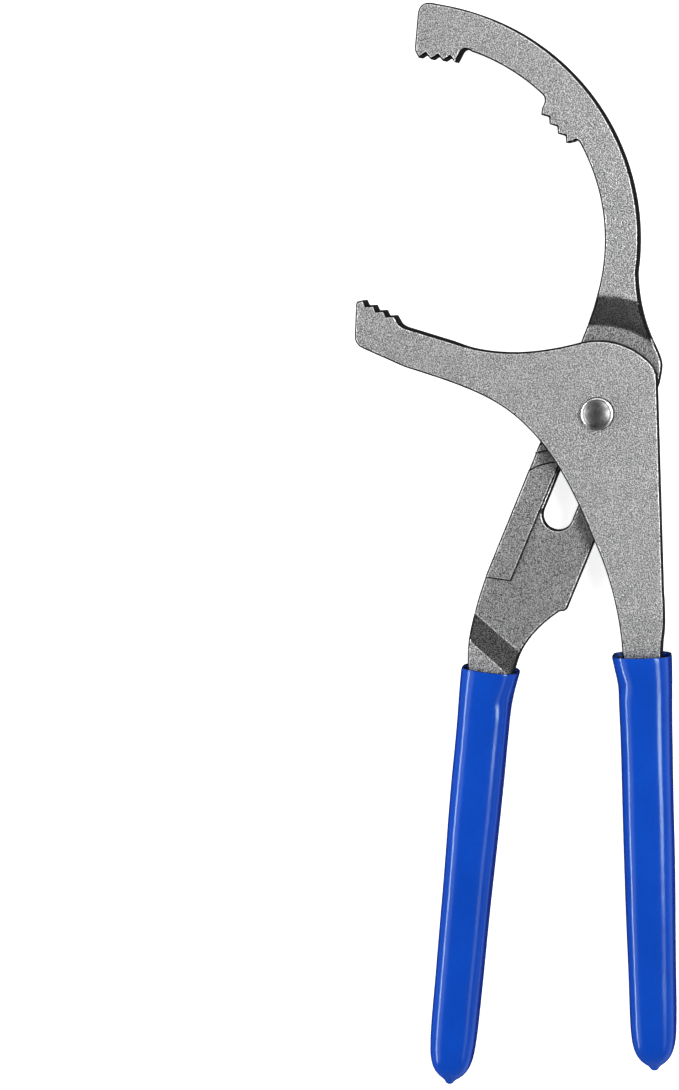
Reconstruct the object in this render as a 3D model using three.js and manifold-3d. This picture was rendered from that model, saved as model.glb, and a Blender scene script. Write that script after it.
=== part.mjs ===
// Tongue-and-groove oil filter wrench, lying on its back.
// Millimetres. +X is to the right, +Y runs from the handles to the jaws, +Z is up, away from the
// surface. The origin is on the pivot's axis, at the surface.

import * as THREE from "three";
import { mergeVertices } from "three/addons/utils/BufferGeometryUtils.js";
import Module from "manifold-3d";

const wasm = await Module();
wasm.setup();

// ---------------------------------------------------------------- driving dimensions

// Heights above the surface
const STEEL_BACK = 3.1;
const JAW_BACK = 4.0;
const STEEL_FRONT = 13.0;
const PLATE_FRONT = 6.9;
const LAND_FRONT = 7.9;
const TONGUE_BACK = 8.2;
const CHEEK_BACK = 8.7;
const TANG_BACK = 4.4;
const TANG_FRONT = 10.4;
const GRIP_MIDDLE = 7.4;
const ABOVE_ALL = 20;
const BELOW_ALL = -2;
const BEYOND = 220;

// Slotted joint plate: a bar that leans, with the slot on its centre line
const BAR_LEAN = THREE.MathUtils.degToRad(22.2);
const BAR_HALF_WIDTH = 12.4;
const SLOT_TRAVEL = 31.2;
const SETTINGS = 5;
const SETTING_PITCH = SLOT_TRAVEL / (SETTINGS - 1);
const SLOT_HALF_WIDTH = 4.2;

// Raised land beside the slot, and the arc grooves across it
const LAND_TOP_INNER = -19;
const LAND_TOP_OUTER = -13.5;
const LAND_BOTTOM = 53.5;
const LAND_EDGE_AT_TOP = 4.8;
const LAND_EDGE_AT_BOTTOM = 5.3;
const GROOVE_INNER_RADIUS = 14.9;
const GROOVE_OUTER_RADIUS = 18.5;
const TONGUE_CLEARANCE = 0.4;

// Pivot
const SHANK_RADIUS = 3.9;
const BORE_RADIUS = 4.2;
const THREAD_RADIUS = 2.7;
const HEAD_RADIUS = 4.5;
const HEAD_BASE = 13.3;
const HEAD_TOP = 15.8;
const NUT_TOP = 2.8;
const NUT_RADIUS = 6.3;
const NUT_HOLE_RADIUS = 3.0;

// Arched jaw: two nearly concentric arcs
const ARCH_OUTER = { x: -55.1, y: 48.6, radius: 66.5 };
const ARCH_INNER = { x: -53.7, y: 48.5, radius: 55.6 };
const STEP_FOOT_RADIUS = 24.6;
const STEP_TOP_RADIUS = 32.8;
const TEETH = 4;

// Rear handle's step forward: it starts and ends on lines square to this heading
const JOGGLE_HEADING = THREE.MathUtils.degToRad(49);
const JOGGLE_START = -65.8;
const JOGGLE_END = -72.8;

// Front lever: where it is thin behind the cheek, and where its handle steps back into the grip
const THIN_FROM_X = -35;
const THICK_FROM_X = -49;
const THIN_TO_Y = -55;
const THICK_FROM_Y = -63;
const STEP_BACK_START = -54;
const STEP_BACK_END = -71;

// Round cheek over the pivot
const CHEEK_RADIUS = 20.5;

// Handles and grips: where each grip's rim is, how it leans, and its section
const LEFT_RIM = new THREE.Vector2(-31.4, -71.8);
const LEFT_LEAN = THREE.MathUtils.degToRad(-5.46);
const RIGHT_RIM = new THREE.Vector2(12.7, -67.4);
const RIGHT_LEAN = THREE.MathUtils.degToRad(1.45);
const TANG_HALF_WIDTH = 4.75;
const TANG_LENGTH = 92;
const LEFT_GRIP_LENGTH = 120.3;
const RIGHT_GRIP_LENGTH = 119;
const RIM_FLARE_LENGTH = 14;
const RIM_OFFSET = 0.8;
const GRIP_DEPTH_RATIO = 0.88;
const GRIP_SQUARENESS = 3;

const CURVE_STEPS = 26;
const ROUND_STEPS = 40;
const GRIP_STEPS = 32;

// ---------------------------------------------------------------- helpers

/** A closed three.js geometry as a solid that can be cut and joined. */
function solidOf(geometry) {
  geometry.deleteAttribute("normal");
  geometry.deleteAttribute("uv");
  const merged = mergeVertices(geometry, 1e-4);
  const triangles = [];
  for (let i = 0; i < merged.index.count; i += 3) {
    const [a, b, c] = merged.index.array.slice(i, i + 3);
    if (a !== b && b !== c && c !== a) triangles.push(a, b, c);
  }
  const vertProperties = new Float32Array(merged.attributes.position.array);
  const triVerts = new Uint32Array(triangles);
  return new wasm.Manifold(new wasm.Mesh({ numProp: 3, vertProperties, triVerts }));
}

/** A finished solid as a named mesh. */
function meshOf(name, solid, material) {
  const result = solid.getMesh();
  const geometry = new THREE.BufferGeometry();
  geometry.setAttribute("position", new THREE.BufferAttribute(result.vertProperties, 3));
  geometry.setIndex(new THREE.BufferAttribute(result.triVerts, 1));
  geometry.computeVertexNormals();
  const mesh = new THREE.Mesh(geometry, material);
  mesh.name = name;
  return mesh;
}

/** A plan outline pulled up from one height to another. */
function slab(shape, bottom, top) {
  const options = { depth: top - bottom, bevelEnabled: false, curveSegments: CURVE_STEPS };
  const geometry = new THREE.ExtrudeGeometry(shape, options);
  geometry.translate(0, 0, bottom);
  return solidOf(geometry);
}

/** A profile of (distance along `heading`, height) points, swept sideways past the whole part. */
function sweptProfile(points, heading) {
  const profile = new THREE.Shape(points.map(([along, height]) => new THREE.Vector2(along, height)));
  const geometry = new THREE.ExtrudeGeometry(profile, { depth: 2 * BEYOND, bevelEnabled: false });
  geometry.translate(0, 0, -BEYOND);
  geometry.rotateX(Math.PI / 2);
  geometry.rotateZ(heading);
  return solidOf(geometry);
}

/** A round body about the pivot's axis from (radius, height) points. */
function turned(points) {
  const geometry = new THREE.LatheGeometry(points.map(([r, z]) => new THREE.Vector2(r, z)), ROUND_STEPS);
  geometry.rotateX(Math.PI / 2);
  return solidOf(geometry);
}

/** A point on a circle, at an angle in degrees. */
function onCircle(circle, degrees) {
  const angle = THREE.MathUtils.degToRad(degrees);
  return [circle.x + circle.radius * Math.cos(angle), circle.y + circle.radius * Math.sin(angle)];
}

/** Continues an outline along a circle, from one angle in degrees to another. */
function followCircle(shape, circle, from, to) {
  const start = THREE.MathUtils.degToRad(from);
  const end = THREE.MathUtils.degToRad(to);
  shape.absarc(circle.x, circle.y, circle.radius, start, end, to < from);
}

/** Continues an outline with teeth: tips a pitch apart, and a valley after each but the last. */
function addTeeth(shape, firstTip, pitch, valley) {
  for (let tooth = 0; tooth < TEETH; tooth += 1) {
    const x = firstTip[0] + pitch[0] * tooth;
    const y = firstTip[1] + pitch[1] * tooth;
    shape.lineTo(x, y);
    if (tooth < TEETH - 1) shape.lineTo(x + valley[0], y + valley[1]);
  }
}

/** A point of the joint plate: distance down the slot from the pivot, and distance to its left. */
function onBar(down, left) {
  const x = -Math.sin(BAR_LEAN) * down - Math.cos(BAR_LEAN) * left;
  const y = -Math.cos(BAR_LEAN) * down + Math.sin(BAR_LEAN) * left;
  return [x, y];
}

/** A point of a handle: distance down from its grip's rim, and distance to its left. */
function onHandle(rim, lean, down, left) {
  const x = rim.x + Math.sin(lean) * down - Math.cos(lean) * left;
  const y = rim.y - Math.cos(lean) * down - Math.sin(lean) * left;
  return [x, y];
}

/** Continues an outline round a handle's tang, down its right side and up its left. */
function followTang(shape, rim, lean, leftAtRim, rightAtRim) {
  const at = (down, left) => onHandle(rim, lean, down, left);
  shape.lineTo(...at(0.5, -rightAtRim));
  shape.lineTo(...at(8, -TANG_HALF_WIDTH));
  shape.lineTo(...at(TANG_LENGTH - 3, -TANG_HALF_WIDTH));
  shape.lineTo(...at(TANG_LENGTH, -TANG_HALF_WIDTH + 3));
  shape.lineTo(...at(TANG_LENGTH, TANG_HALF_WIDTH - 3));
  shape.lineTo(...at(TANG_LENGTH - 3, TANG_HALF_WIDTH));
  shape.lineTo(...at(8, TANG_HALF_WIDTH));
  shape.lineTo(...at(0.5, leftAtRim));
}

// ---------------------------------------------------------------- materials

const forgedSteel = () =>
  new THREE.MeshStandardMaterial({ color: 0x8b8b8b, roughness: 0.5, metalness: 0.85 });
const boltSteel = () =>
  new THREE.MeshStandardMaterial({ color: 0x777777, roughness: 0.35, metalness: 0.9 });
const vinyl = () =>
  new THREE.MeshStandardMaterial({ color: 0x0f4ac0, roughness: 0.2, metalness: 0 });

// ---------------------------------------------------------------- arch lever

/** The whole rear lever in plan: arched jaw, neck, joint plate and tang. */
function archOutline() {
  const shape = new THREE.Shape();
  // Blunt tip of the jaw
  shape.moveTo(-51.4, 101.6);
  shape.lineTo(-50.5, 111.5);
  shape.quadraticCurveTo(-50.1, 115.1, -46.6, 114.7);
  // Back of the arch, and the flare into the joint plate
  followCircle(shape, ARCH_OUTER, 80, -8);
  shape.bezierCurveTo(10.9, 33, 12.0, 27.5, 14.2, 22);
  shape.bezierCurveTo(15.5, 18.7, 17.9, 15, 17.4, 12.4);
  shape.quadraticCurveTo(17.3, 10.8, ...onBar(-13.5, -BAR_HALF_WIDTH));
  // Right side of the plate, its corner, and the curve into the handle
  shape.lineTo(...onBar(54.5, -BAR_HALF_WIDTH));
  shape.quadraticCurveTo(...onBar(55.8, -BAR_HALF_WIDTH), ...onBar(56.2, -10.8));
  shape.bezierCurveTo(-16.4, -59.6, -21.4, -64.5, -23.2, -70);
  followTang(shape, LEFT_RIM, LEFT_LEAN, 5.7, 7.4);
  // Left side of the handle and plate
  shape.bezierCurveTo(-37.2, -64, -36.4, -57.5, ...onBar(54, BAR_HALF_WIDTH));
  shape.lineTo(...onBar(-16.5, BAR_HALF_WIDTH));
  // Inside of the arch, up to the middle pad
  shape.quadraticCurveTo(-3.6, 24.2, ...onCircle(ARCH_INNER, -20));
  followCircle(shape, ARCH_INNER, -20, 28);
  shape.quadraticCurveTo(-5.6, 76.9, -6.9, 75.8);
  addTeeth(shape, [-8.9, 75.4], [-2.33, 2.63], [-0.15, 1.95]);
  shape.lineTo(-15.7, 85.2);
  shape.quadraticCurveTo(-14.2, 87.5, ...onCircle(ARCH_INNER, 46.6));
  // Inside of the arch, up to the tip's teeth
  followCircle(shape, ARCH_INNER, 46.6, 70.6);
  shape.bezierCurveTo(-37.3, 102.4, -38.2, 101.4, -38.8, 100);
  addTeeth(shape, [-39.9, 97.9], [-3.43, 0.46], [-1.5, 1.7]);
  return shape;
}

/** What is cut away in front of the joint plate and handle, leaving the raised land. */
function archFrontCut() {
  const step = turned([
    [0, PLATE_FRONT],
    [STEP_FOOT_RADIUS, PLATE_FRONT],
    [STEP_TOP_RADIUS, STEEL_FRONT],
    [STEP_TOP_RADIUS + 1.2, STEEL_FRONT + 1],
    [0, STEEL_FRONT + 1],
  ]);
  const handle = sweptProfile([
    [BEYOND, PLATE_FRONT],
    [JOGGLE_START, PLATE_FRONT],
    [JOGGLE_END, TANG_FRONT],
    [-BEYOND, TANG_FRONT],
    [-BEYOND, ABOVE_ALL],
    [BEYOND, ABOVE_ALL],
  ], JOGGLE_HEADING);
  const belowPivot = new THREE.Shape([
    new THREE.Vector2(...onBar(0, -60)),
    new THREE.Vector2(...onBar(0, 60)),
    new THREE.Vector2(...onBar(BEYOND, 60)),
    new THREE.Vector2(...onBar(BEYOND, -60)),
  ]);
  const land = new THREE.Shape([
    new THREE.Vector2(...onBar(LAND_TOP_INNER, LAND_EDGE_AT_TOP)),
    new THREE.Vector2(...onBar(LAND_BOTTOM, LAND_EDGE_AT_BOTTOM)),
    new THREE.Vector2(...onBar(LAND_BOTTOM + 2.6, BAR_HALF_WIDTH + 3)),
    new THREE.Vector2(...onBar(LAND_TOP_OUTER, BAR_HALF_WIDTH + 3)),
  ]);
  const lowered = handle.intersect(slab(belowPivot, BELOW_ALL, ABOVE_ALL)).add(step);
  return lowered.subtract(slab(land, BELOW_ALL, LAND_FRONT));
}

/** One groove across the land, for the pivot at a given distance down the slot. */
function grooveShape(pivotDown) {
  const [x, y] = onBar(pivotDown, 0);
  const up = Math.PI / 2 - BAR_LEAN;
  const from = up + THREE.MathUtils.degToRad(10);
  const to = up + THREE.MathUtils.degToRad(62);
  const shape = new THREE.Shape();
  shape.absarc(x, y, GROOVE_OUTER_RADIUS, from, to, false);
  shape.absarc(x, y, GROOVE_INNER_RADIUS, to, from, true);
  return shape;
}

/** The slot that the bolt slides along. */
function slotShape() {
  const axis = Math.PI / 2 - BAR_LEAN;
  const shape = new THREE.Shape();
  shape.absarc(...onBar(0, 0), SLOT_HALF_WIDTH, axis - Math.PI / 2, axis + Math.PI / 2, false);
  shape.absarc(...onBar(SLOT_TRAVEL, 0), SLOT_HALF_WIDTH, axis + Math.PI / 2, axis + 1.5 * Math.PI, false);
  return shape;
}

function archLever() {
  let lever = slab(archOutline(), STEEL_BACK, STEEL_FRONT).subtract(archFrontCut());
  for (let setting = 0; setting < SETTINGS; setting += 1) {
    lever = lever.subtract(slab(grooveShape(setting * SETTING_PITCH), PLATE_FRONT, ABOVE_ALL));
  }
  lever = lever.subtract(slab(slotShape(), BELOW_ALL, ABOVE_ALL));
  // The back of the handle steps forward with its front
  const backStep = sweptProfile([
    [JOGGLE_START, BELOW_ALL],
    [JOGGLE_START, STEEL_BACK],
    [JOGGLE_END, TANG_BACK],
    [-BEYOND, TANG_BACK],
    [-BEYOND, BELOW_ALL],
  ], JOGGLE_HEADING);
  return lever.subtract(backStep);
}

// ---------------------------------------------------------------- jaw lever

/** The whole front lever in plan: jaw arm, cheek, handle and tang. */
function jawOutline() {
  const cheek = { x: 0, y: 0, radius: CHEEK_RADIUS };
  const shape = new THREE.Shape();
  shape.moveTo(-68.2, 30.8);
  shape.lineTo(-67.9, 31.4);
  addTeeth(shape, [-66, 31.8], [2.93, -1.47], [0.75, -1.6]);
  // Top of the arm, sweeping into the round cheek
  shape.lineTo(-56.2, 25.6);
  shape.quadraticCurveTo(-55.5, 24.4, -53.8, 23.9);
  shape.lineTo(-37, 18.8);
  shape.bezierCurveTo(-26, 16, -16.5, 17, ...onCircle(cheek, 107));
  followCircle(shape, cheek, 107, 45);
  shape.quadraticCurveTo(16.6, 12.4, 16.6, 9.5);
  // Outside of the handle
  shape.lineTo(18.4, -50);
  shape.quadraticCurveTo(19.1, -58, 18.0, -64);
  followTang(shape, RIGHT_RIM, RIGHT_LEAN, 6.0, 5.1);
  // Inside of the handle, underside of the cheek and of the arm
  shape.bezierCurveTo(6.1, -53, 1.7, -41.5, -1.4, -35);
  shape.bezierCurveTo(-6.3, -23, -13.8, -5.7, -28.5, 2.9);
  shape.bezierCurveTo(-36, 7.4, -46.5, 10.4, -54.6, 13);
  shape.lineTo(-66.2, 18.1);
  shape.quadraticCurveTo(-68.6, 19.2, -68.6, 21.6);
  return shape;
}

function jawLever() {
  let lever = slab(jawOutline(), JAW_BACK, STEEL_FRONT);
  // Behind the cheek the steel is thin; it grows thick again along the arm and into the tang
  const behindCheek = sweptProfile([
    [THIN_FROM_X, CHEEK_BACK],
    [BEYOND, CHEEK_BACK],
    [BEYOND, BELOW_ALL],
    [THICK_FROM_X, BELOW_ALL],
  ], 0);
  const behindHandle = sweptProfile([
    [THIN_TO_Y, CHEEK_BACK],
    [THICK_FROM_Y, TANG_BACK],
    [-BEYOND, TANG_BACK],
    [-BEYOND, BELOW_ALL],
    [BEYOND, BELOW_ALL],
    [BEYOND, CHEEK_BACK],
  ], Math.PI / 2);
  const frontStep = sweptProfile([
    [STEP_BACK_START, STEEL_FRONT],
    [STEP_BACK_END, TANG_FRONT],
    [-BEYOND, TANG_FRONT],
    [-BEYOND, ABOVE_ALL],
    [STEP_BACK_START, ABOVE_ALL],
  ], Math.PI / 2);
  lever = lever.subtract(behindCheek.intersect(behindHandle)).subtract(frontStep);
  // The tongue that sits in the land's grooves
  const up = Math.PI / 2 - BAR_LEAN;
  const tongue = new THREE.Shape();
  const from = up + THREE.MathUtils.degToRad(18);
  const to = up + THREE.MathUtils.degToRad(40);
  tongue.absarc(0, 0, GROOVE_OUTER_RADIUS - TONGUE_CLEARANCE, from, to, false);
  tongue.absarc(0, 0, GROOVE_INNER_RADIUS + TONGUE_CLEARANCE, to, from, true);
  lever = lever.add(slab(tongue, TONGUE_BACK, CHEEK_BACK + 0.5));
  const bore = new THREE.Shape().absarc(0, 0, BORE_RADIUS, 0, 2 * Math.PI, false);
  return lever.subtract(slab(bore, BELOW_ALL, ABOVE_ALL));
}

// ---------------------------------------------------------------- pivot

function pivotBolt() {
  return turned([
    [0, 0],
    [THREAD_RADIUS, 0],
    [THREAD_RADIUS, STEEL_BACK],
    [SHANK_RADIUS, STEEL_BACK],
    [SHANK_RADIUS, HEAD_BASE],
    [HEAD_RADIUS, HEAD_BASE],
    [HEAD_RADIUS, HEAD_BASE + 0.7],
    [HEAD_RADIUS * 0.9, HEAD_TOP - 0.9],
    [HEAD_RADIUS * 0.62, HEAD_TOP - 0.3],
    [0, HEAD_TOP],
  ]);
}

function pivotNut() {
  const hexagon = new THREE.CylinderGeometry(NUT_RADIUS, NUT_RADIUS, NUT_TOP, 6);
  hexagon.rotateX(Math.PI / 2);
  hexagon.translate(0, 0, NUT_TOP / 2);
  const hole = new THREE.Shape().absarc(0, 0, NUT_HOLE_RADIUS, 0, 2 * Math.PI, false);
  return solidOf(hexagon).subtract(slab(hole, BELOW_ALL, ABOVE_ALL));
}

// ---------------------------------------------------------------- grips

/**
 * A dipped sleeve, closed at its tip: turned about its own axis, then squared and flattened.
 * Its rim flares, and sits a little to one side of the axis.
 */
function grip(length, rimOffset) {
  // Half widths at distances below the rim: outside from the tip up, then the bore down
  const profile = [
    [0, length],
    [0.9, length - 0.4],
    [1.1, length - 1.3],
    [3.6, length - 2.6],
    [5.4, length - 5.4],
    [6.3, length - 9.4],
    [6.6, length - 15],
    [6.75, 90],
    [7.0, 66],
    [7.25, 40],
    [7.35, 18],
    [7.7, 8],
    [8.1, 3],
    [8.3, 0.6],
    [8.0, 0],
    [7.6, 0.4],
    [7.3, 2.4],
    [5.9, 13],
    [5.5, 94],
    [0, 96],
  ].map(([halfWidth, down]) => new THREE.Vector2(halfWidth, -down));
  const geometry = new THREE.LatheGeometry(profile, GRIP_STEPS);
  const position = geometry.attributes.position;
  const power = GRIP_SQUARENESS;
  for (let i = 0; i < position.count; i += 1) {
    const x = position.getX(i);
    const z = position.getZ(i);
    const radius = Math.hypot(x, z);
    if (radius > 0) {
      const bulge = radius / (Math.abs(x) ** power + Math.abs(z) ** power) ** (1 / power);
      const nearRim = Math.max(0, 1 + position.getY(i) / RIM_FLARE_LENGTH);
      position.setX(i, x * bulge + rimOffset * nearRim ** 2);
      position.setZ(i, z * bulge * GRIP_DEPTH_RATIO);
    }
  }
  return solidOf(geometry);
}

function placedGrip(name, rim, lean, length, rimOffset) {
  const mesh = meshOf(name, grip(length, rimOffset), vinyl());
  mesh.position.set(rim.x, rim.y, GRIP_MIDDLE);
  mesh.rotation.z = lean;
  return mesh;
}

// ---------------------------------------------------------------- assembly

const wrench = new THREE.Group();
wrench.add(meshOf("arch_lever", archLever(), forgedSteel()));
wrench.add(meshOf("jaw_lever", jawLever(), forgedSteel()));
wrench.add(meshOf("pivot_bolt", pivotBolt(), boltSteel()));
wrench.add(meshOf("pivot_nut", pivotNut(), boltSteel()));
wrench.add(placedGrip("left_grip", LEFT_RIM, LEFT_LEAN, LEFT_GRIP_LENGTH, RIM_OFFSET));
wrench.add(placedGrip("right_grip", RIGHT_RIM, RIGHT_LEAN, RIGHT_GRIP_LENGTH, -RIM_OFFSET));

export default wrench;
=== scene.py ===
"""Oil filter wrench lying on a pale floor. Metres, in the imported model's frame: +Y to the jaws, +Z up."""

import math

import bmesh
import bpy
import numpy as np
from mathutils import Matrix, Vector, geometry, kdtree


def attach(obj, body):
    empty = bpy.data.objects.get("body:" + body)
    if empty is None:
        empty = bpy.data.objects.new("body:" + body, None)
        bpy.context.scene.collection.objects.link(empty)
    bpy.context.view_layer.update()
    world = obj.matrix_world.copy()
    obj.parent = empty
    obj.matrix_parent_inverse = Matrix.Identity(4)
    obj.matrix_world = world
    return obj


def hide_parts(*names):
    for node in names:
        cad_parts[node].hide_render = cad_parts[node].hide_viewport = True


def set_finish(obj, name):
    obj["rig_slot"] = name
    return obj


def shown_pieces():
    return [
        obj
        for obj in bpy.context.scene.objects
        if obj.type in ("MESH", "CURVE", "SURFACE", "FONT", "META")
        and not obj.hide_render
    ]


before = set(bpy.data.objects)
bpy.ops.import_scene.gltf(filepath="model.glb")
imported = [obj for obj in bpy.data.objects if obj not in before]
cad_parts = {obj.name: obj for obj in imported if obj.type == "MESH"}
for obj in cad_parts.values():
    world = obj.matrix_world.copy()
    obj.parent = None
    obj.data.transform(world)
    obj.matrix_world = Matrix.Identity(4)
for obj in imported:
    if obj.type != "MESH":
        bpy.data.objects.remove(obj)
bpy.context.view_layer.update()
scene = bpy.context.scene
MM = 0.001


# ---------------------------------------------------------------- mesh helpers

def linked(name, mesh, body, replaced, slot):
    """A new piece that rides on a body and stands for one CAD node."""
    piece = bpy.data.objects.new(name, mesh)
    scene.collection.objects.link(piece)
    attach(piece, body)
    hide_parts(replaced)
    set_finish(piece, slot)
    return piece


def smooth_mesh(name, vertices, faces):
    """A smooth-shaded mesh from lists of vertices and faces."""
    mesh = bpy.data.meshes.new(name)
    mesh.from_pydata([tuple(v) for v in vertices], [], faces)
    mesh.validate()
    mesh.shade_smooth()
    return mesh


def closed_rings(rings):
    """Faces that join rings of equal length, each end closed by a fan at a single point.

    The first and last rings are single points."""
    count = len(rings[1])
    vertices = [rings[0][0]]
    for ring in rings[1:-1]:
        vertices.extend(ring)
    vertices.append(rings[-1][0])
    last = len(vertices) - 1
    faces = []
    for i in range(count):
        j = (i + 1) % count
        faces.append((0, 1 + j, 1 + i))
        faces.append((last, last - count + i, last - count + j))
    for k in range(len(rings) - 3):
        a = 1 + k * count
        b = a + count
        for i in range(count):
            j = (i + 1) % count
            faces.append((a + i, a + j, b + j, b + i))
    return vertices, faces


def through(points, spacing):
    """Points along a smooth curve through (halfwidth, distance) points, about `spacing` apart."""
    points = [np.array(p, float) for p in points]
    made = []
    for k in range(len(points) - 1):
        p0 = points[max(k - 1, 0)]
        p1, p2 = points[k], points[k + 1]
        p3 = points[min(k + 2, len(points) - 1)]
        steps = max(1, int(np.ceil(np.linalg.norm(p2 - p1) / spacing)))
        # Centripetal Catmull-Rom, so that unequal spans don't overshoot
        t1 = max(np.linalg.norm(p1 - p0), 1e-9) ** 0.5
        t2 = t1 + np.linalg.norm(p2 - p1) ** 0.5
        t3 = t2 + max(np.linalg.norm(p3 - p2), 1e-9) ** 0.5
        for t in np.linspace(t1, t2, steps, endpoint=False):
            a1 = p0 + (p1 - p0) * (t / t1)
            a2 = p1 + (p2 - p1) * ((t - t1) / (t2 - t1))
            a3 = p2 + (p3 - p2) * ((t - t2) / (t3 - t2))
            b1 = a1 + (a2 - a1) * (t / t2)
            b2 = a2 + (a3 - a2) * ((t - t1) / (t3 - t1))
            made.append(b1 + (b2 - b1) * ((t - t1) / (t2 - t1)))
    made.append(points[-1])
    return made


# ---------------------------------------------------------------- forged levers

# How far edges are rounded. Edges over SHARP are rounded, and those under GENTLE count as creases
RIDGE_RADIUS = 0.7 * MM
CREASE_RADIUS = 0.38 * MM
CORNER_RADIUS = 0.2 * MM
MOST_OF_STEP = 0.4
ROUNDING_STEPS = 5
SHARP = math.radians(18)
GENTLE = math.radians(45)

# Limits on the upright part of a face's normal, for walls, slopes, flats and the edges painted bright as
# wear and highlight
WALL_LEVEL = 0.3
SLOPE_LEVEL = 0.975
FLAT_LEVEL = 0.995
WORN_AND_HIGHLIGHT_LEVEL = 0.92

# Where the arch lever's slotted plate has its raised land and the grooves across it
BAR_LEAN = math.radians(22.2)
LAND_FRONT = 7.9 * MM
STEEL_FRONT = 13.0 * MM
LEVEL_SLACK = 0.2 * MM
ABOVE_LAND = 0.5 * MM
SETTINGS = 5
SETTING_PITCH = 7.8 * MM
GROOVE_RADIUS = 16.7 * MM
GROOVE_HALF_WIDTH = 1.6 * MM
GROOVE_START = 5.0 * MM
GROOVE_AREA = 45 * MM * MM

# How far apart corners are merged, and how flat triangles are joined, to make whole faces again
WELD_REACHES = (2e-6, 2.5e-5)
SLIVER = 1e-6
SAME_PLANE = math.radians(0.6)
SAMPLE_STEP = 0.4 * MM
CROSSING_REACH = 1e-8

# Painted shade and light: how much darker or brighter each kind of face is painted beside the flat blasted
# front, for how it faces and how deep it lies
WALL_TONE = 0.2
RIM_TONE = 0.07
SLOPE_TONE = 0.52
JOGGLE_TONE = 0.12
PLATE_TONE = 0.70
LAND_TONE = 0.73
TANG_TONE = 1.0
GROOVE_TONE = 0.40
BACK_TONE = 0.85
WORN_AND_HIGHLIGHT_TONE = 2.6
CREASE_TONE = 0.6
CREASE_WEAR = 0.2
DIPPED_TONE = 1.3
HOLLOW_TONE = 0.07

# The stored tone is divided by this, and the material multiplies it back
TONE_SCALE = 2.0


def in_groove(centre, area):
    """Whether a face at the plate's level is the floor of a groove across the land."""
    down = -centre.x * math.sin(BAR_LEAN) - centre.y * math.cos(BAR_LEAN)
    left = -centre.x * math.cos(BAR_LEAN) + centre.y * math.sin(BAR_LEAN)
    starts = [setting * SETTING_PITCH for setting in range(SETTINGS)]
    near = min(abs(math.hypot(down - start, left) - GROOVE_RADIUS) for start in starts)
    return left > GROOVE_START and area < GROOVE_AREA and near < GROOVE_HALF_WIDTH


def painted_face_tone(centre, normal, area, is_arch_lever):
    """How much painted shade or painted light a face's steel gets beside the flat blasted fronts, from how
    it faces and how deep it lies.
    """
    if abs(normal.z) < WALL_LEVEL:
        return WALL_TONE
    if abs(normal.z) < SLOPE_LEVEL:
        return JOGGLE_TONE if normal.y > 0 else SLOPE_TONE
    if normal.z < 0:
        return BACK_TONE
    if abs(normal.z) < FLAT_LEVEL:
        return DIPPED_TONE
    if not is_arch_lever or centre.z > STEEL_FRONT - LEVEL_SLACK:
        return 1.0
    if centre.z > LAND_FRONT + ABOVE_LAND:
        return TANG_TONE
    if centre.z > LAND_FRONT - LEVEL_SLACK:
        return LAND_TONE
    return GROOVE_TONE if in_groove(centre, area) else PLATE_TONE


def edge_kind(edge):
    """Whether a sharp edge is a gentle crease, an outside ridge or an inside corner."""
    if edge.calc_face_angle() < GENTLE:
        return "crease"
    return "ridge" if edge.is_convex else "corner"


def edge_radius(edge):
    """How far a sharp edge is rounded. Low steps, and upright edges such as tooth tips, stay crisper."""
    kind = edge_kind(edge)
    if kind == "crease":
        return CREASE_RADIUS
    wall = min(edge.link_faces, key=lambda face: abs(face.normal.z))
    heights = [vertex.co.z for vertex in wall.verts]
    if kind == "corner" or max(abs(face.normal.z) for face in edge.link_faces) < WALL_LEVEL:
        return CORNER_RADIUS
    return min(RIDGE_RADIUS, MOST_OF_STEP * (max(heights) - min(heights)))


def rounded_mesh(work):
    """A bmesh as a mesh with its sharp edges rounded. The rounded faces have material index 1."""
    weight = work.edges.layers.float.new("bevel_weight_edge")
    for edge in work.edges:
        if edge.is_manifold and edge.calc_face_angle(0) > SHARP:
            edge[weight] = edge_radius(edge) / RIDGE_RADIUS
    mesh = bpy.data.meshes.new("sharp")
    work.to_mesh(mesh)
    # Two slots, so that the bevel can mark the faces that it makes
    for part in ("face", "edge"):
        mesh.materials.append(bpy.data.materials.new(part))
    sharp = bpy.data.objects.new("sharp", mesh)
    scene.collection.objects.link(sharp)
    bevel = sharp.modifiers.new("round", "BEVEL")
    bevel.limit_method = "WEIGHT"
    bevel.width = RIDGE_RADIUS
    bevel.segments = ROUNDING_STEPS
    bevel.use_clamp_overlap = False
    bevel.material = 1
    made = bpy.data.meshes.new_from_object(sharp.evaluated_get(bpy.context.evaluated_depsgraph_get()))
    bpy.data.objects.remove(sharp)
    return made


def winding(outline, point):
    """How many times an outline, an array of 2-D points, goes round a point."""
    arms = outline - np.array(point)
    after = np.roll(arms, -1, axis=0)
    crossed = arms[:, 0] * after[:, 1] - arms[:, 1] * after[:, 0]
    turned_by = np.arctan2(crossed, (arms * after).sum(axis=1))
    return round(turned_by.sum() / (2 * math.pi))


def split_flat(work, face, layer):
    """Replaces a many-sided flat face by triangles, also where its rounded border crosses itself."""
    turn = face.normal.to_track_quat("Z", "Y").to_matrix()
    flat = [turn.transposed() @ v.co for v in face.verts]
    outline = np.array([point.xy for point in flat])
    found, _, triangles, origins, _, _ = geometry.delaunay_2d_cdt(
        [point.xy for point in flat], [], [list(range(len(flat)))], 1, CROSSING_REACH)
    corners = list(face.verts)
    mark = tuple(face.loops[0][layer])
    height = flat[0].z
    made = [corners[origin[0]] if origin else work.verts.new(turn @ Vector((point.x, point.y, height)))
            for point, origin in zip(found, origins)]
    work.faces.remove(face)
    for triangle in triangles:
        middle = sum((found[k] for k in triangle), Vector((0, 0))) / 3
        ends = [made[k] for k in triangle]
        if winding(outline, middle) < 1 or len(set(ends)) < 3 or work.faces.get(ends) is not None:
            continue
        part = work.faces.new(ends)
        part.smooth = True
        for loop in part.loops:
            loop[layer] = mark


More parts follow.
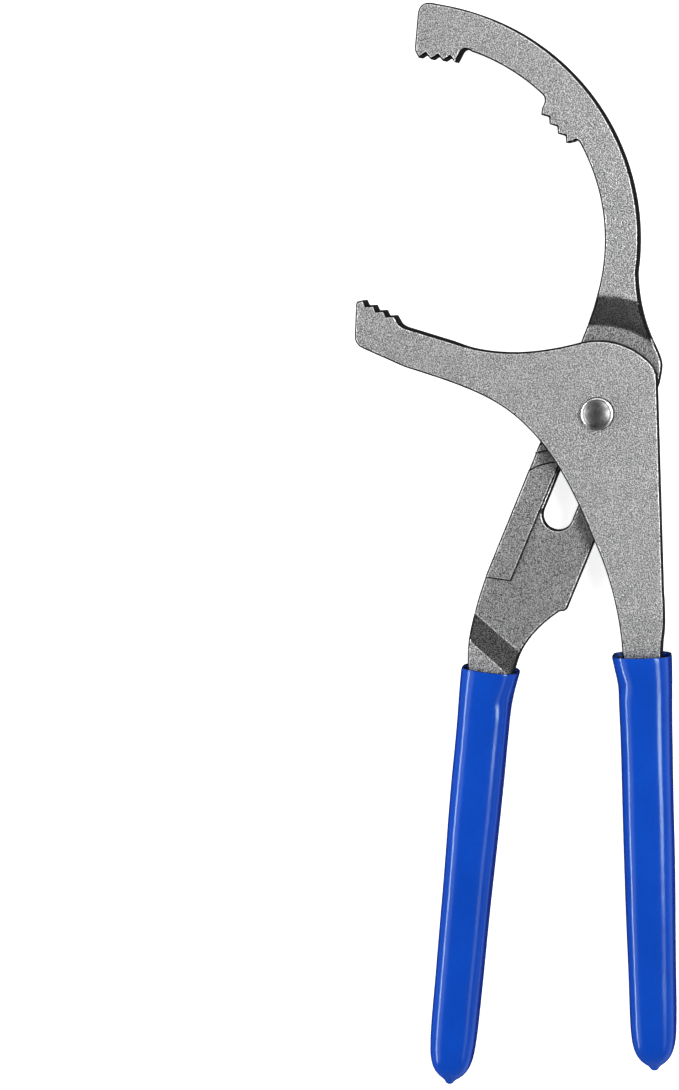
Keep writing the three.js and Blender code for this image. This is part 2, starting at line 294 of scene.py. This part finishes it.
def forging(node):
    """The CAD node's shape with every sharp edge rounded a little, and each face's painted shade or light
    and its wear stored on it.
    """
    work = bmesh.new()
    work.from_mesh(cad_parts[node].data)
    for reach in WELD_REACHES:
        bmesh.ops.remove_doubles(work, verts=work.verts, dist=reach)
    bmesh.ops.dissolve_degenerate(work, dist=SLIVER, edges=work.edges)
    bmesh.ops.dissolve_limit(work, angle_limit=SAME_PLANE, verts=work.verts, edges=work.edges)
    # Samples along the sharp edges say afterwards what kind of edge a rounded face is on
    samples = []
    for edge in work.edges:
        if edge.is_manifold and edge.calc_face_angle(0) > SHARP:
            start, end = (v.co.copy() for v in edge.verts)
            steps = max(2, int((end - start).length / SAMPLE_STEP))
            kind = edge_kind(edge)
            samples += [(start.lerp(end, k / steps), kind) for k in range(steps + 1)]
    tree = kdtree.KDTree(len(samples))
    for k, (point, _) in enumerate(samples):
        tree.insert(point, k)
    tree.balance()
    mesh = rounded_mesh(work)
    work.free()
    work = bmesh.new()
    work.from_mesh(mesh)
    work.normal_update()
    tone = work.loops.layers.float_color.new("painted_light_and_finish")
    for face in work.faces:
        centre = face.calc_center_median()
        level = abs(face.normal.z)
        value, worn = painted_face_tone(centre, face.normal, face.calc_area(), node == "arch_lever"), 0.0
        kind = samples[tree.find(centre)[1]][1] if face.material_index == 1 else "flat"
        # Creases and inside corners get painted shade
        if kind == "crease":
            value, worn = CREASE_TONE, CREASE_WEAR
        elif kind == "corner" and level < FLAT_LEVEL:
            value = HOLLOW_TONE
        elif kind == "ridge" and level < FLAT_LEVEL:
            # The inner part of a rounded edge is painted bright, as wear and a painted highlight, and its
            # outer part is painted very dark as shade
            value, worn = (WORN_AND_HIGHLIGHT_TONE, 1.0) if level > WORN_AND_HIGHLIGHT_LEVEL else (RIM_TONE, 0.0)
        face.smooth = True
        face.material_index = 0
        for loop in face.loops:
            loop[tone] = (value / TONE_SCALE, worn, 0, 1)
    for face in [f for f in work.faces if len(f.verts) > 4]:
        split_flat(work, face, tone)
    work.to_mesh(mesh)
    work.free()
    return mesh


for node, body, name in (
    ("arch_lever", "arch_side", "forged_arch_lever"),
    ("jaw_lever", "jaw_side", "forged_jaw_lever"),
):
    mesh = forging(node)
    mesh.name = name
    lever = linked(name, mesh, body, node, "forged_steel")
    lever.modifiers.new("even_shading", "WEIGHTED_NORMAL")


# ---------------------------------------------------------------- pivot

def turned(points, segments):
    """A round body about the pivot's axis from (radius, height) points in mm, ends on the axis."""
    rings = []
    for radius, height in points:
        angles = np.linspace(0, 2 * math.pi, segments, endpoint=False)
        ring = np.stack([radius * np.cos(angles), radius * np.sin(angles), np.full(segments, height)], 1)
        rings.append(ring * MM)
    return closed_rings(rings)


HEAD_RADIUS = 4.5
HEAD_BASE = 13.3
HEAD_TOP = 15.8
DOME_RADIUS = 3.78
DOME_CURVE = 11.5
RING_START = 3.75
RING_CURVE = 1.25
RING_TOP = 15.07
RING_INSIDE = 3.88
RING_FOOT = 14.6
RING_SLOPES = range(34, 6, -4)
DOME_STEPS = 12
BOLT_SEGMENTS = 96

# (radius, height) points in mm: shank, collar, shoulder, head, polished ring and dome
bolt_profile = [
    (0, 0), (2.2, 0), (2.35, 0.03), (2.62, 0.3), (2.7, 0.45),
    (2.7, 3.0), (2.75, 3.1), (3.7, 3.1), (3.85, 3.18), (3.9, 3.35),
    (3.9, 13.2), (3.95, HEAD_BASE), (4.3, HEAD_BASE), (4.42, 13.34), (HEAD_RADIUS, 13.45),
    (HEAD_RADIUS, 14.5), (HEAD_RADIUS, 14.66), (4.485, 14.74), (4.46, 14.79),
]
for slope in RING_SLOPES:
    tilt = math.radians(slope)
    drop = RING_CURVE * (1 - math.cos(tilt))
    bolt_profile.append((RING_START + RING_CURVE * math.sin(tilt), RING_TOP - drop))
bolt_profile += [(3.86, 15.07), (3.82, 15.08)]
for step in range(DOME_STEPS, -1, -1):
    reach = DOME_RADIUS * step / DOME_STEPS
    bolt_profile.append((reach, HEAD_TOP - DOME_CURVE + math.sqrt(DOME_CURVE ** 2 - reach ** 2)))
bolt = linked("domed_bolt", smooth_mesh("domed_bolt", *turned(bolt_profile, BOLT_SEGMENTS)),
              "pivot", "pivot_bolt", "pivot_steel")
ring_mark = bolt.data.color_attributes.new("painted_light_and_finish", "FLOAT_COLOR", "POINT")
for vertex, mark in zip(bolt.data.vertices, ring_mark.data):
    reach = math.hypot(vertex.co.x, vertex.co.y) / MM
    polished = reach > RING_INSIDE and vertex.co.z / MM > RING_FOOT
    mark.color = (0.5, 1.0 if polished else 0.0, 0, 1)

NUT_RADIUS = 6.3
NUT_HEIGHT = 2.8
NUT_HOLE = 3.0
NUT_MOUTH = 3.55
NUT_SEGMENTS = 144


def nut_mesh():
    """A hexagon nut with its corners turned off at both faces, and a chamfered hole."""
    flat = NUT_RADIUS * math.cos(math.pi / 6)
    angles = np.linspace(0, 2 * math.pi, NUT_SEGMENTS, endpoint=False)
    from_corner = (angles - math.pi / 2) % (math.pi / 3) - math.pi / 6
    hexagon = flat / np.cos(from_corner)
    rings = []
    outside = [0, 0.08, 0.16, 0.26, 0.38, 0.5, 0.9, 1.4, 1.9, 2.3, 2.42, 2.54, 2.64, 2.72, NUT_HEIGHT]
    for height in outside:
        from_face = min(height, NUT_HEIGHT - height)
        radius = np.minimum(hexagon - 0.08 * (from_face < 0.05), flat * 0.955 + from_face / 0.5)
        rings.append((radius, height))
    inside = [(NUT_MOUTH, NUT_HEIGHT), (3.3, 2.7), (NUT_HOLE + 0.05, 2.4), (NUT_HOLE, 2.3), (NUT_HOLE, 0.5),
              (NUT_HOLE + 0.05, 0.4), (3.3, 0.1), (NUT_MOUTH, 0)]
    for radius, height in inside:
        rings.append((np.full(NUT_SEGMENTS, radius), height))
    vertices = []
    for radius, height in rings:
        level = np.full(NUT_SEGMENTS, height)
        vertices.extend(np.stack([radius * np.cos(angles), radius * np.sin(angles), level], 1) * MM)
    faces = []
    for k in range(len(rings)):
        a = k * NUT_SEGMENTS
        b = ((k + 1) % len(rings)) * NUT_SEGMENTS
        for i in range(NUT_SEGMENTS):
            j = (i + 1) % NUT_SEGMENTS
            faces.append((a + i, a + j, b + j, b + i))
    return smooth_mesh("lock_nut", vertices, faces)


linked("lock_nut", nut_mesh(), "pivot", "pivot_nut", "pivot_steel")


# ---------------------------------------------------------------- dipped vinyl sleeves

# How a sleeve is shaped. Lengths are in mm, and distances down it are from its rim
GRIP_MIDDLE = 7.4
DEPTH_RATIO = 0.88
SQUARENESS = 3.0
FLARE_LENGTH = 14.0
SLEEVE_SEGMENTS = 112
OUTSIDE_SPACING = 1.1
LIP_SPACING = 0.18
BORE_SPACING = 6
BORE_END = 96.0
DARK_LIP_RINGS = 6
DARK_CREST = 0.3
FOLD_DEPTH = 0.5
FOLD_DOWN = 9
FOLD_LENGTH = 3.0
RIM_SLANT = 0.45
RIM_DROOP = 0.12
PLAIN_RADIUS = 6.0
FOLDED_RADIUS = 6.4
FLANK_START = 0.78
FLANK_FADE = 0.18


def sleeve(name, body, node, rim, lean, length, rim_offset, fold_angle, seed):
    """A hollow sleeve dipped over a tang: rolled lip, flared rim, slow taper and a drip at its tip.

    Its profile is a list of (half width, distance from the rim) points."""
    outside = [
        [0, length], [0.5, length - 0.05], [0.95, length - 0.3], [1.3, length - 0.8],
        [1.75, length - 1.35], [2.6, length - 1.95], [3.7, length - 2.9], [4.7, length - 4.2],
        [5.45, length - 5.8], [6.05, length - 8.2], [6.4, length - 11.5], [6.6, length - 16],
        [6.75, 90], [6.9, 76], [7.05, 62], [7.2, 46], [7.3, 32], [7.35, 20],
        [7.5, 12], [7.75, 7.6], [8.05, 3.6], [8.22, 1.7],
    ]
    lip = [
        [8.27, 0.9], [8.26, 0.5], [8.18, 0.2], [8.04, 0.05], [7.88, 0.04],
        [7.72, 0.18], [7.6, 0.5], [7.5, 1.2], [7.3, 2.4],
    ]
    bore = [[6.9, 5], [6.3, 9], [5.9, 13], [5.7, 45], [5.5, 93.5]]
    profile = through(outside, OUTSIDE_SPACING)[:-1] + through([outside[-1]] + lip, LIP_SPACING)[:-1]
    bore_from = len(profile) - DARK_LIP_RINGS
    profile += through([lip[-1]] + bore, BORE_SPACING) + [np.array([0, BORE_END])]
    phase = np.random.default_rng(seed).uniform(0, 2 * math.pi, 5)
    angles = np.linspace(0, 2 * math.pi, SLEEVE_SEGMENTS, endpoint=False)
    c, s = np.cos(angles), np.sin(angles)
    bulge = 1 / (np.abs(c) ** SQUARENESS + np.abs(s) ** SQUARENESS) ** (1 / SQUARENESS)
    toward_fold = np.clip(np.cos(angles - math.radians(fold_angle)), 0, 1) ** 6
    rings = []
    for half_width, down in profile:
        # The vinyl runs a little before it sets, so its surface waves gently
        wave = (0.05 * math.sin(down / 9 + phase[0]) + 0.035 * np.sin(down / 14 + 2 * angles + phase[1])
                + 0.02 * np.sin(down / 5.5 + 3 * angles + phase[2]))
        fold = FOLD_DEPTH * math.exp(-((down - FOLD_DOWN) / FOLD_LENGTH) ** 2) * toward_fold
        ripple = wave * min(1, half_width / PLAIN_RADIUS) - fold
        outer = half_width + ripple * (half_width > FOLDED_RADIUS)
        near_rim = max(0.0, 1 - down / FLARE_LENGTH)
        unevenness = np.sin(2 * angles + phase[3]) + 0.6 * np.sin(3 * angles + phase[4])
        droop = RIM_DROOP * near_rim ** 3 * unevenness
        x = outer * bulge * c + rim_offset * near_rim ** 2
        z = outer * bulge * s * DEPTH_RATIO
        # The rim's front is a little lower than its back, so the bore, painted dark as shade, shows beside
        # the tang
        slant = RIM_SLANT * (1 + s) * near_rim ** 3
        y = -(down + np.abs(droop) + slant) if half_width > 0 else np.full_like(x, -down)
        rings.append(np.stack([x, y, z], 1))
    rings[0] = rings[0][:1]
    rings[-1] = rings[-1][:1]
    rings[0][0][0] = rings[0][0][2] = 0
    vertices, faces = closed_rings(rings)
    turn = Matrix.Rotation(lean, 3, "Z")
    place = Vector((rim[0], rim[1], GRIP_MIDDLE))
    placed = [(turn @ Vector(v) + place) * MM for v in vertices]
    mesh = smooth_mesh(name, placed, faces)
    outward = bmesh.new()
    outward.from_mesh(mesh)
    bmesh.ops.recalc_face_normals(outward, faces=outward.faces)
    outward.to_mesh(mesh)
    outward.free()
    mesh.shade_smooth()
    # The lip's crest and the bore get painted shade, and the flanks get painted shade too
    marks = mesh.color_attributes.new("painted_light_and_finish", "FLOAT_COLOR", "POINT")
    for k, mark in enumerate(marks.data):
        ring = min((k - 1) // SLEEVE_SEGMENTS + 1, len(profile) - 1)
        dark = ring >= bore_from or profile[ring][1] < DARK_CREST
        flank = min(max((abs(mesh.vertices[k].normal.x) - FLANK_START) / FLANK_FADE, 0), 1)
        mark.color = (1.0 if dark else 0.0, flank, 0, 1)
    return linked(name, mesh, body, node, "blue_vinyl")


sleeve("vinyl_sleeve_left", "arch_side", "left_grip", rim=(-31.4, -71.8), lean=math.radians(-5.46),
       length=120.3, rim_offset=0.8, fold_angle=40, seed=7)
sleeve("vinyl_sleeve_right", "jaw_side", "right_grip", rim=(12.7, -67.4), lean=math.radians(1.45),
       length=119.0, rim_offset=-0.8, fold_angle=140, seed=11)


# ---------------------------------------------------------------- materials

class Nodes:
    """A new material's nodes, made and joined by short calls."""

    def __init__(self, name):
        self.material = bpy.data.materials.new(name)
        self.material.use_nodes = True
        self.tree = self.material.node_tree
        self.shader = self.tree.nodes["Principled BSDF"]
        coordinates = self.tree.nodes.new("ShaderNodeTexCoord")
        self.place = coordinates.outputs["Object"]

    def join(self, output, socket):
        self.tree.links.new(output, socket)

    def marks(self):
        """The red, green and blue parts of the colours stored on the mesh."""
        painted_light_and_finish = self.tree.nodes.new("ShaderNodeAttribute")
        painted_light_and_finish.attribute_name = "painted_light_and_finish"
        parts = self.tree.nodes.new("ShaderNodeSeparateColor")
        self.join(painted_light_and_finish.outputs["Color"], parts.inputs["Color"])
        return parts.outputs

    def noise(self, scale, detail=3, roughness=0.6, distortion=0.0):
        """Cloudy noise, `scale` per metre."""
        node = self.tree.nodes.new("ShaderNodeTexNoise")
        node.inputs["Scale"].default_value = scale
        node.inputs["Detail"].default_value = detail
        node.inputs["Roughness"].default_value = roughness
        node.inputs["Distortion"].default_value = distortion
        self.join(self.place, node.inputs["Vector"])
        return node.outputs["Fac"]

    def cells(self, scale):
        """Distances from scattered points, `scale` per metre."""
        node = self.tree.nodes.new("ShaderNodeTexVoronoi")
        node.inputs["Scale"].default_value = scale
        self.join(self.place, node.inputs["Vector"])
        return node.outputs["Distance"]

    def ramp(self, value, stops):
        """A colour ramp from (position, colour) stops, where a single number is a grey."""
        node = self.tree.nodes.new("ShaderNodeValToRGB")
        elements = node.color_ramp.elements
        while len(elements) < len(stops):
            elements.new(0.5)
        for element, (position, colour) in zip(elements, stops):
            is_grey = not hasattr(colour, "__len__")
            element.position = position
            element.color = (colour, colour, colour, 1) if is_grey else (*colour, 1)
        self.join(value, node.inputs["Fac"])
        return node.outputs["Color"]

    def mix(self, factor, first, second, blend="MIX"):
        node = self.tree.nodes.new("ShaderNodeMix")
        node.data_type = "RGBA"
        node.blend_type = blend
        for socket, value in ((node.inputs[0], factor), (node.inputs[6], first), (node.inputs[7], second)):
            if isinstance(value, bpy.types.NodeSocket):
                self.join(value, socket)
            elif hasattr(value, "__len__"):
                socket.default_value = (*value, 1)
            else:
                socket.default_value = value
        return node.outputs[2]

    def math(self, operation, first, second):
        node = self.tree.nodes.new("ShaderNodeMath")
        node.operation = operation
        for socket, value in zip(node.inputs, (first, second)):
            if isinstance(value, bpy.types.NodeSocket):
                self.join(value, socket)
            else:
                socket.default_value = value
        return node.outputs[0]

    def bump(self, height, distance, strength=1.0, under=None):
        node = self.tree.nodes.new("ShaderNodeBump")
        node.inputs["Distance"].default_value = distance
        node.inputs["Strength"].default_value = strength
        self.join(height, node.inputs["Height"])
        if under is not None:
            self.join(under, node.inputs["Normal"])
        return node.outputs["Normal"]


def steel_material():
    """Blasted forged steel: grainy satin grey, with edges painted bright as wear and highlight, and slopes,
    walls and corners painted dark as shade.
    """
    n = Nodes("blasted_steel")
    tone, worn, _ = n.marks()
    grain = n.mix(0.5, n.noise(4000, 1, 0.5), n.cells(2900))
    patches = n.noise(75, 4, 0.6)
    pits = n.noise(600, 3, 0.6)
    speckle = n.ramp(grain, [(0.32, 0.04), (0.43, 0.205), (0.51, 0.54), (0.60, 0.76)])
    base = n.mix(1.0, speckle, n.ramp(patches, [(0.3, 0.92), (0.7, 1.0)]), "MULTIPLY")
    # Painted shade and light: the stored tone darkens walls, slopes, corners and the lower levels and
    # brightens the edges
    base = n.mix(1.0, base, n.math("MULTIPLY", tone, TONE_SCALE), "MULTIPLY")
    n.join(base, n.shader.inputs["Base Color"])
    n.shader.inputs["Metallic"].default_value = 1.0
    rough = n.ramp(grain, [(0.35, 0.54), (0.65, 0.40)])
    rough = n.mix(worn, rough, (0.36, 0.36, 0.36))
    n.join(rough, n.shader.inputs["Roughness"])
    relief_bump = n.bump(patches, 0.0002, 0.2)
    relief_bump = n.bump(pits, 0.00008, 0.12, relief_bump)
    n.join(n.bump(grain, 0.00014, 1.0, relief_bump), n.shader.inputs["Normal"])
    return n.material


def bolt_material():
    """Smooth satin steel with a smoky oxide bloom and a fine grain, and bright where it is polished."""
    n = Nodes("satin_bolt_steel")
    bloom = n.noise(300, 3, 0.5, 0.8)
    grain = n.noise(2600, 3, 0.6)
    _, polished, _ = n.marks()
    base = n.ramp(bloom, [(0.36, 0.13), (0.52, 0.30), (0.64, 0.46)])
    base = n.mix(0.15, base, n.ramp(grain, [(0.35, 0.2), (0.65, 0.6)]))
    base = n.mix(polished, base, (0.95, 0.95, 0.95))
    n.join(base, n.shader.inputs["Base Color"])
    n.shader.inputs["Metallic"].default_value = 1.0
    rough = n.ramp(bloom, [(0.3, 0.38), (0.7, 0.30)])
    n.join(n.mix(polished, rough, (0.24, 0.24, 0.24)), n.shader.inputs["Roughness"])
    n.join(n.bump(grain, 0.00003, 0.35), n.shader.inputs["Normal"])
    return n.material


def vinyl_material():
    """Glossy dipped vinyl with faint flow marks, uneven in colour, with painted shade on its flanks, on the
    lip's crest and inside.
    """
    n = Nodes("dipped_blue_vinyl")
    flow = n.noise(55, 3, 0.5, 0.4)
    fine = n.noise(900, 3, 0.5)
    base = n.ramp(flow, [(0.3, (0.0035, 0.060, 0.465)), (0.7, (0.0045, 0.071, 0.535))])
    base = n.mix(0.08, base, n.ramp(fine, [(0.3, (0.002, 0.04, 0.36)), (0.7, (0.006, 0.09, 0.6))]))
    dark, flank, _ = n.marks()
    # Painted shade: the flanks are darkened, and the lip's crest and the bore go nearly black
    base = n.mix(n.math("MULTIPLY", flank, 0.7), base, (0.001, 0.010, 0.16))
    base = n.mix(dark, base, (0.001, 0.004, 0.03))
    n.join(base, n.shader.inputs["Base Color"])
    n.join(n.ramp(fine, [(0.3, 0.15), (0.7, 0.21)]), n.shader.inputs["Roughness"])
    n.shader.inputs["IOR"].default_value = 1.54
    n.shader.inputs["Specular Tint"].default_value = (0.78, 1.0, 0.95, 1)
    low = n.bump(flow, 0.0004, 0.35)
    n.join(n.bump(fine, 0.00001, 0.4, low), n.shader.inputs["Normal"])
    return n.material


def floor_material():
    """A matt pale floor that glows a little, so that shadows on it stay faint."""
    n = Nodes("pale_floor")
    n.join(n.ramp(n.noise(9, 2, 0.5), [(0.3, 0.88), (0.7, 0.9)]), n.shader.inputs["Base Color"])
    n.shader.inputs["Roughness"].default_value = 0.9
    n.shader.inputs["Specular IOR Level"].default_value = 0.1
    n.shader.inputs["Emission Color"].default_value = (1, 1, 1, 1)
    n.shader.inputs["Emission Strength"].default_value = 0.85
    return n.material


steel = steel_material()
bolt_steel = bolt_material()
vinyl = vinyl_material()
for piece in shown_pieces():
    finish = {"forged_steel": steel, "pivot_steel": bolt_steel, "blue_vinyl": vinyl}[piece["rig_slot"]]
    piece.data.materials.clear()
    piece.data.materials.append(finish)


# ---------------------------------------------------------------- floor, light and camera

FLOOR_REACH = 8.0
WALL_REACH = 7.9
WALL_HEIGHT = 4.0
WALL_FOOT = -0.01
WALL_SIDES = 64


def staged(name, vertices, faces, material):
    """A piece of the studio, which the steel's and the vinyl's gloss doesn't show."""
    mesh = bpy.data.meshes.new(name)
    mesh.from_pydata(vertices, [], faces)
    mesh.materials.append(material)
    piece = bpy.data.objects.new(name, mesh)
    scene.collection.objects.link(piece)
    piece.visible_glossy = False
    return piece


floor_corners = [(x * FLOOR_REACH, y * FLOOR_REACH, 0) for x, y in ((-1, -1), (1, -1), (1, 1), (-1, 1))]
staged("floor", floor_corners, [(0, 1, 2, 3)], floor_material())


def backdrop_material():
    """A pale glow that fades a little here and there."""
    n = Nodes("pale_backdrop")
    n.join(n.ramp(n.noise(0.6, 2, 0.5), [(0.3, 0.86), (0.7, 0.9)]), n.shader.inputs["Emission Color"])
    n.shader.inputs["Base Color"].default_value = (0, 0, 0, 1)
    n.shader.inputs["Emission Strength"].default_value = 1.0
    n.shader.inputs["Specular IOR Level"].default_value = 0.0
    return n.material


# A round pale wall stands far behind everything, for cameras near the floor
turns = [2 * math.pi * k / WALL_SIDES for k in range(WALL_SIDES)]
foot = [(WALL_REACH * math.cos(t), WALL_REACH * math.sin(t), WALL_FOOT) for t in turns]
wall_points = foot + [(x, y, WALL_HEIGHT) for x, y, _ in foot]
neighbours = [(k, (k + 1) % WALL_SIDES) for k in range(WALL_SIDES)]
wall_faces = [(k, after, after + WALL_SIDES, k + WALL_SIDES) for k, after in neighbours]
backdrop = staged("backdrop", wall_points, wall_faces, backdrop_material())
backdrop.visible_diffuse = False
backdrop.visible_shadow = False


def softbox(name, lean, distance, size, radiance, middle):
    """A glowing panel that faces the tool, leaning from straight up by `lean` degrees to +X and to +Y."""
    light = bpy.data.lights.new(name, "AREA")
    light.shape = "RECTANGLE"
    light.size, light.size_y = size
    light.energy = radiance * math.pi * light.size * light.size_y
    lamp = bpy.data.objects.new(name, light)
    scene.collection.objects.link(lamp)
    to_right, to_top = (math.radians(angle) for angle in lean)
    lamp.rotation_euler = (-to_top, to_right, 0)
    away = lamp.rotation_euler.to_matrix() @ Vector((0, 0, distance))
    lamp.location = Vector((0, middle, 0)) + away


# The strip beside the handles ends early, so the highlights on the grips fade towards their tips
softbox("right_strip", (34, 0), 1.15, (0.34, 1.0), 9.8, 0.21)
softbox("right_strip_tail", (34, 0), 1.15, (0.34, 0.7), 0.9, -0.59)
softbox("left_strip", (-58, 0), 1.15, (0.11, 1.7), 17.0, -0.04)
softbox("left_panel", (-41, 0), 1.3, (0.36, 1.7), 1.0, -0.04)
softbox("top_panel", (0, 46), 1.2, (1.0, 0.4), 1.5, 0.0)

world = bpy.data.worlds.new("studio")
scene.world = world
world.use_nodes = True
sky = world.node_tree


def sky_range(value, low, high):
    """0 to 1 as a value goes from low to high."""
    node = sky.nodes.new("ShaderNodeMapRange")
    node.inputs["From Min"].default_value = low
    node.inputs["From Max"].default_value = high
    sky.links.new(value, node.inputs["Value"])
    return node.outputs["Result"]


def sky_ramp(value, stops):
    """A grey ramp from (position, level) stops."""
    node = sky.nodes.new("ShaderNodeValToRGB")
    for _ in stops[2:]:
        node.color_ramp.elements.new(0.5)
    for element, (position, level) in zip(node.color_ramp.elements, stops):
        element.position = position
        element.color = (level, level, level, 1)
    sky.links.new(value, node.inputs["Fac"])
    return node.outputs["Color"]


# The room that the gloss shows: a pale wall low on the right, and a dim one on the left
split = sky.nodes.new("ShaderNodeSeparateXYZ")
sky.links.new(sky.nodes.new("ShaderNodeTexCoord").outputs["Generated"], split.inputs[0])
height = sky_range(split.outputs["Z"], -1, 1)
room = sky.nodes.new("ShaderNodeMix")
room.data_type = "RGBA"
sky.links.new(sky_range(split.outputs["X"], -0.2, 0.4), room.inputs[0])
sky.links.new(sky_ramp(height, [(0.2, 0.02), (0.45, 0.10), (0.60, 0.12), (0.85, 0.035)]), room.inputs[6])
sky.links.new(sky_ramp(height, [(0.2, 0.02), (0.32, 0.85), (0.5, 0.45), (0.85, 0.035)]), room.inputs[7])
sky.links.new(room.outputs[2], sky.nodes["Background"].inputs["Color"])

# The camera was fitted to the photo's outline
CAMERA_AT = Vector((115, 62, 1313)) * MM
AIMED_AT = Vector((-73.06, -37.30, 13)) * MM
ROLL = -0.0040
LENS = 154.1
SENSOR = 36

camera_data = bpy.data.cameras.new("camera")
camera_data.lens = LENS
camera_data.sensor_width = SENSOR
camera_data.clip_start = 0.05
camera_data.clip_end = 50
camera = bpy.data.objects.new("camera", camera_data)
scene.collection.objects.link(camera)
ahead = (AIMED_AT - CAMERA_AT).normalized()
right = ahead.cross(Vector((0, 1, 0))).normalized()
up = right.cross(ahead)
right, up = right * math.cos(ROLL) + up * math.sin(ROLL), up * math.cos(ROLL) - right * math.sin(ROLL)
camera.matrix_world = Matrix((
    (right.x, up.x, -ahead.x, CAMERA_AT.x),
    (right.y, up.y, -ahead.y, CAMERA_AT.y),
    (right.z, up.z, -ahead.z, CAMERA_AT.z),
    (0, 0, 0, 1),
))
scene.camera = camera
scene.view_settings.view_transform = "Standard"
